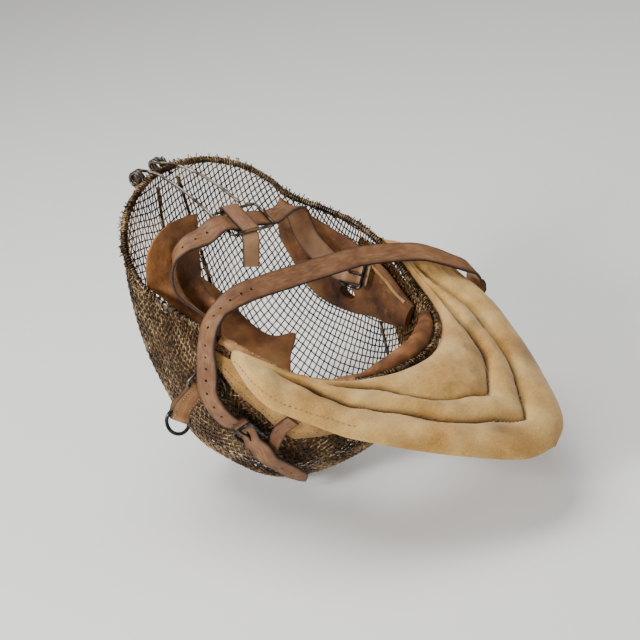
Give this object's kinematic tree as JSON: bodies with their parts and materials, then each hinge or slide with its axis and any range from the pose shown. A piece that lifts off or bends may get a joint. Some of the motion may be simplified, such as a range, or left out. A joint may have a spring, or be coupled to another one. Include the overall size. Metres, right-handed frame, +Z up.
{
  "type": "fencing mask",
  "caption": "Vintage fencing mask: a woven wire bowl with leather cheek pads, a spring tongue, buckled straps and a quilted canvas bib.",
  "frame": {"origin": "under the middle of the bounding box, on the surface that the mask rests on", "axes": "+X to the right of the picture towards the bib's tip, +Y away from the viewer, +Z up; the mask lies on its wire front and its left cheek with its opening up and towards the viewer"},
  "size_m": [0.3164, 0.2912, 0.2546],
  "materials": {
    "oxidised_wire": "darkened steel wire with bronze and grey glints",
    "spring_wire": "dull grey spring steel",
    "black_steel": "blackened steel with worn edges",
    "strap_leather": "smooth worn strap leather, paler on its flesh side",
    "pad_leather": "scuffed orange-brown padding leather",
    "canvas": "aged cream canvas, quilted and stained"
  },
  "bodies": {
    "root": {"mesh_bowl": "oxidised_wire", "rim_wire": "oxidised_wire", "brow_rib_left": "oxidised_wire", "brow_rib_right": "oxidised_wire", "jaw_rib": "spring_wire", "spring_arm_left": "spring_wire", "spring_arm_right": "spring_wire", "strap_frame": "spring_wire", "strap_keeper": "strap_leather", "head_strap": "strap_leather", "neck_strap": "strap_leather", "neck_buckle": "black_steel", "neck_prong": "black_steel", "head_buckle": "black_steel", "head_prong": "black_steel", "neck_chape": "strap_leather", "cheek_pad_right": "pad_leather", "cheek_pad_left": "pad_leather", "ear_flap_left": "pad_leather", "chin_roll": "pad_leather", "bib": "canvas", "bib_gusset": "canvas", "ring_hanger": "spring_wire", "ring_tab": "strap_leather", "tab_ring": "black_steel"}
  },
  "joints": []
}
